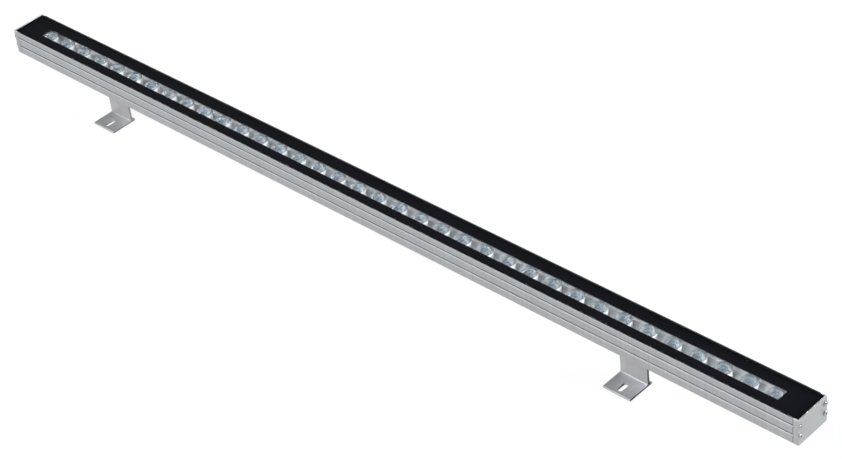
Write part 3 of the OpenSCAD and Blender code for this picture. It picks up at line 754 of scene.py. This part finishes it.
class WASHER_OT_glass(bpy.types.Operator):
    """Makes the pane with its ground edges over the black print"""

    bl_idname = "washer.glass"
    bl_label = "Glass"

    def execute(self, context):
        glass = softened("front_glass", sizes().glass_arris, segments=1)
        border = black_print()
        belongs(finish_with(glass, pane_glass(), border), "front_glass")
        for face in glass.data.polygons:
            if abs(face.normal.z) < 0.3:
                face.material_index = 1
        finish_with(frame["nodes"]["window_print"], border)
        return {"FINISHED"}


def light_places(side):
    """The middle of every light source's foot, on the board."""
    return [Vector(((low.x + high.x) / 2, (low.y + high.y) / 2, low.z))
            for low, high in loose_boxes(side + "_leds")]


class WASHER_OT_lenses(bpy.types.Operator):
    """Turns the clear lenses with their dished middles"""

    bl_idname = "washer.lenses"
    bl_label = "Lenses"

    def execute(self, context):
        body = acrylic("lens_acrylic", colours().lens, roughness=0.24)
        # The darker dish tint is painted shade.
        dish = acrylic("lens_dish_shade", colours().dish, roughness=0.16)
        dish_radius = 3.5 * MM
        dish_depth = 1.0 * MM
        for side in SIDES:
            node = side + "_lenses"
            low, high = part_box(node)
            places = light_places(side)
            board = places[0].z
            top = high.z - board
            lens = finish_with(self.lens((high.y - low.y) / 2, low.z - board, top), body, dish)
            for face in lens.data.polygons:
                if face.center.xy.length < dish_radius and face.center.z > top - dish_depth:
                    face.material_index = 1
            settle(lens, 50)
            group = repeat(lens, places, node + "_finished")
            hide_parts(node)
            belongs(group, node)
        return {"FINISHED"}

    def lens(self, rim, foot, top):
        """One lens over Z zero: pocket, outer wall, flange and dish, as one closed outline."""
        neck = top - 1.2 * MM
        foot_radius = 3.9 * MM
        neck_radius = 7.0 * MM
        arris = 0.15 * MM
        wall_steps = 12
        pocket_mm = [(0.5, 4.4), (1.6, 4.3), (2.5, 3.9), (2.9, 3.2), (2.9, 0.0)]
        dish_mm = [(4.0, 0.0), (3.7, 0.1), (3.4, 0.5), (2.6, 0.7), (1.4, 0.78), (0.3, 0.8)]
        outline = [(radius * MM, foot + rise * MM) for radius, rise in pocket_mm]
        outline.append((foot_radius, foot))
        for step in range(1, wall_steps + 1):
            turn = math.pi / 2 * step / wall_steps
            outline.append((foot_radius + (neck_radius - foot_radius) * math.sin(turn),
                            foot + (neck - foot) * (1 - math.cos(turn))))
        outline += [(rim, neck), (rim, top - arris), (rim - arris, top)]
        outline += [(radius * MM, top - drop * MM) for radius, drop in dish_mm]
        return turned("lens", outline, sizes().lens_segments)


class WASHER_OT_light_sources(bpy.types.Operator):
    """Makes the light sources: a ceramic base, a yellow face and a clear dome"""

    bl_idname = "washer.light_sources"
    bl_label = "Light Sources"

    def execute(self, context):
        ceramic = moulded("led_ceramic", colours().ceramic, roughness=0.4)
        phosphor = moulded("led_phosphor", colours().phosphor, roughness=0.35)
        dome = clear_dome()
        for side in SIDES:
            node = side + "_leds"
            low, high = loose_boxes(node)[0]
            half = (high.x - low.x) / 2
            base_height = 0.9 * MM
            face_half = half * 0.62
            face_height = base_height + 0.08 * MM
            base = block("base", (-half, -half, 0), (half, half, base_height), 0.15 * MM)
            face = block("face", (-face_half, -face_half, base_height),
                         (face_half, face_half, face_height), 0.03 * MM, 1)
            cover = self.cover(base_height, high.z - low.z - base_height)
            finish_with(base, ceramic)
            finish_with(face, phosphor)
            finish_with(cover, dome)
            source = join([settle(base), settle(face), settle(cover, 50)], "source")
            group = repeat(source, light_places(side), node + "_finished")
            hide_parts(node)
            belongs(group, node)
        return {"FINISHED"}

    def cover(self, foot, radius):
        """The half round dome over the yellow face."""
        steps = 8
        segments = 24
        outline = [(radius, foot)]
        for step in range(1, steps):
            turn = math.pi / 2 * step / steps
            outline.append((radius * math.cos(turn), foot + radius * math.sin(turn)))
        outline.append((radius * 0.05, foot + radius))
        return turned("cover", outline, segments)


class WASHER_OT_boards(bpy.types.Operator):
    """Finishes the boards and what stands on them"""

    bl_idname = "washer.boards"
    bl_label = "Boards"

    def execute(self, context):
        mask = white_mask()
        holder = moulded("holder_plastic", colours().holder, roughness=0.4)
        chip = moulded("black_epoxy", colours().chip, roughness=0.5)
        nylon = moulded("white_nylon", colours().terminal, roughness=0.38)
        steel = bright_steel("board_screw_steel", colours().steel)
        solder = bright_steel("solder", colours().solder)
        for side in SIDES:
            finish_with(frame["nodes"][side + "_led_board"], mask)
            finish_with(frame["nodes"][side + "_lens_holders"], holder)
            node = side + "_current_regulators"
            belongs(finish_with(softened(node, sizes().small_rounding), chip), node)
            self.board_screws(side, steel)
            self.pads(side, solder)
        for node in ("board_link", "power_terminal"):
            belongs(finish_with(softened(node, sizes().small_rounding), nylon), node)
        return {"FINISHED"}

    def board_screws(self, side, steel):
        """The screws that hold a board down."""
        node = side + "_board_screws"
        boxes = loose_boxes(node)
        low, high = boxes[0]
        board_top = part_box(side + "_led_board")[1].z
        head_radius = (high.y - low.y) / 2
        screw = pan_screw("screw", head_radius, high.z - board_top, head_radius * 0.55, board_top - low.z)
        settle(screw)
        places = [Vector(((a.x + b.x) / 2, (a.y + b.y) / 2, board_top)) for a, b in boxes]
        group = repeat(screw, places, node + "_finished")
        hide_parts(node)
        belongs(finish_with(group, steel), node)

    def pads(self, side, solder):
        """Solder pads on both sides of every light source."""
        low, high = loose_boxes(side + "_leds")[0]
        half = (high.x - low.x) / 2
        pad_half = half * 0.8
        pad_height = 0.12 * MM
        pad_rounding = 0.04 * MM
        pads = []
        for way in (-1, 1):
            near, far = sorted((way * half, way * (half + sizes().pad)))
            pad = block("pad", (near, -pad_half, 0), (far, pad_half, pad_height), pad_rounding, 1)
            pads.append(settle(pad))
        group = repeat(join(pads, "pads"), light_places(side), side + "_solder_pads")
        belongs(finish_with(group, solder), side + "_led_board")


class WASHER_OT_gland(bpy.types.Operator):
    """Finishes the lead entry under the left end"""

    bl_idname = "washer.gland"
    bl_label = "Lead Entry"

    def execute(self, context):
        nylon = moulded("black_nylon", colours().gland, roughness=0.42)
        rubber = moulded("black_rubber", colours().rubber, roughness=0.7)
        for node in ("gland_body", "gland_dome_nut", "gland_locknut"):
            belongs(finish_with(softened(node, sizes().small_rounding * 2), nylon), node)
        for node in ("gland_washer", "gland_seal"):
            belongs(finish_with(softened(node, sizes().small_rounding), rubber), node)
        return {"FINISHED"}


class WASHER_OT_brackets(bpy.types.Operator):
    """Rounds and finishes the sliding clips, the hinges and the feet"""

    bl_idname = "washer.brackets"
    bl_label = "Brackets"

    def execute(self, context):
        tint = colours()
        steel = bright_steel("bolt_steel", tint.steel)
        black = bright_steel("black_oxide", tint.black_oxide)
        # The right bracket's sawn colour is a painted shadow.
        for side, sawn in (("left", tint.sawn_left), ("right", tint.shadowed_sawn_right)):
            metal = bracket_metal(side, sawn)
            for node in (side + "_foot", side + "_clip"):
                belongs(finish_with(softened(node, sizes().bracket_rounding), metal), node)
            fittings = (("_pivot_bolt", steel), ("_pivot_nut", steel), ("_pivot_washers", steel),
                        ("_clip_set_screws", black))
            for ending, finish in fittings:
                node = side + ending
                belongs(finish_with(softened(node, sizes().small_rounding), finish), node)
        return {"FINISHED"}


# Stage

class WASHER_OT_stage(bpy.types.Operator):
    """Sets up the camera, the lamps, the floor and the room"""

    bl_idname = "washer.stage"
    bl_label = "Stage"
    aim = Vector((0, 0, 0.05))

    def execute(self, context):
        stage = context.scene.washer_stage
        self.camera(context.scene, stage)
        self.floor(stage)
        self.room(context.scene, stage)
        self.lamp("Key", stage.key_power, place=(-0.3, -1.55, 2.4), span=(1.6, 0.7))
        self.lamp("Edge", stage.edge_power, place=(-2.1, -2.5, 2.2), span=(2.2, 1.4))
        self.lamp("Top", stage.top_power, place=(-1.6, 0.85, 2.3), span=(0.9, 0.9))
        self.lamp("Side", stage.side_power, place=(2.3, 1.2, 1.2), span=(1.0, 0.8))
        self.lamp("Front", stage.front_power, place=(1.25, -1.45, 1.75), span=(0.7, 0.5))
        context.scene.view_settings.view_transform = "Standard"
        return {"FINISHED"}

    def camera(self, scene, stage):
        """The photograph's viewpoint."""
        deselect()
        bpy.ops.object.camera_add(location=stage.camera_place, rotation=stage.camera_turn)
        camera = bpy.context.active_object
        camera.name = "Camera"
        camera.data.lens = stage.focal
        camera.data.sensor_width = 36
        camera.data.clip_start = 0.05
        camera.data.dof.use_dof = False
        scene.camera = camera

    def floor(self, stage):
        """A pale floor that curves up into a low round wall, and takes the light's shadow."""
        deselect()
        bpy.ops.mesh.primitive_circle_add(vertices=128, radius=stage.floor_span / 2,
                                          location=(0, 0, stage.wall_height))
        floor = named("floor")
        edit(floor)
        bpy.ops.mesh.extrude_region_move(TRANSFORM_OT_translate={"value": (0, 0, -stage.wall_height)})
        bpy.ops.mesh.edge_face_add()
        bpy.ops.mesh.bevel(offset=stage.wall_height / 2, segments=10, affect="EDGES")
        bpy.ops.object.mode_set(mode="OBJECT")
        settle(floor, 60)
        finish = Finish("floor_white", Roughness=0.9, Specular_IOR_Level=0.0, Emission_Strength=1.0)
        path = finish.tree.nodes.new("ShaderNodeLightPath")
        seen = Value(finish.tree, path.outputs["Is Camera Ray"])
        for way in ("Is Glossy Ray", "Is Transmission Ray"):
            seen = seen + Value(finish.tree, path.outputs[way])
        lit, shaded, glow, dark = ((level, level, level) for level in (0.88, 0.14, 0.86, 0.0))
        finish.set("Base Color", finish.mix(seen, lit, shaded))
        finish.set("Emission Color", finish.mix(seen, dark, glow))
        finish_with(floor, finish.material)

    def room(self, scene, stage):
        """An even, slightly blue room."""
        world = bpy.data.worlds.new("Room")
        world.use_nodes = True
        background = world.node_tree.nodes["Background"]
        background.inputs["Color"].default_value = (*stage.room_colour, 1)
        background.inputs["Strength"].default_value = stage.room
        scene.world = world

    def lamp(self, name, energy, place, span):
        """A large soft lamp aimed at the middle of the light."""
        deselect()
        view = self.aim - Vector(place)
        bpy.ops.object.light_add(type="AREA", location=place,
                                 rotation=view.to_track_quat("-Z", "Y").to_euler())
        lamp = bpy.context.active_object
        lamp.name = name
        lamp.data.shape = "RECTANGLE"
        lamp.data.size, lamp.data.size_y = span
        lamp.data.energy = energy


class WASHER_PT_panel(bpy.types.Panel):
    """Lists the steps in the sidebar"""

    bl_idname = "WASHER_PT_panel"
    bl_label = "Wall Washer Light"
    bl_space_type = "VIEW_3D"
    bl_region_type = "UI"
    bl_category = "Wall Washer"

    def draw(self, context):
        for step in STEPS:
            self.layout.operator(step.bl_idname)
        for group in (context.scene.washer_colours, context.scene.washer_sizes, context.scene.washer_stage):
            box = self.layout.box()
            for key in group.__annotations__:
                box.prop(group, key)


STEPS = (WASHER_OT_stage, WASHER_OT_housing, WASHER_OT_caps, WASHER_OT_cap_screws, WASHER_OT_glass,
         WASHER_OT_lenses, WASHER_OT_light_sources, WASHER_OT_boards, WASHER_OT_gland, WASHER_OT_brackets)
CLASSES = (WasherColours, WasherSizes, WasherStage, *STEPS, WASHER_PT_panel)


def register():
    for kind in CLASSES:
        bpy.utils.register_class(kind)
    bpy.types.Scene.washer_colours = PointerProperty(type=WasherColours)
    bpy.types.Scene.washer_sizes = PointerProperty(type=WasherSizes)
    bpy.types.Scene.washer_stage = PointerProperty(type=WasherStage)


def unregister():
    del bpy.types.Scene.washer_stage
    del bpy.types.Scene.washer_sizes
    del bpy.types.Scene.washer_colours
    for kind in reversed(CLASSES):
        bpy.utils.unregister_class(kind)


def main():
    register()
    bpy.ops.washer.stage()
    bpy.ops.washer.housing()
    bpy.ops.washer.caps()
    bpy.ops.washer.cap_screws()
    bpy.ops.washer.glass()
    bpy.ops.washer.lenses()
    bpy.ops.washer.light_sources()
    bpy.ops.washer.boards()
    bpy.ops.washer.gland()
    bpy.ops.washer.brackets()


if __name__ == "__main__":
    main()
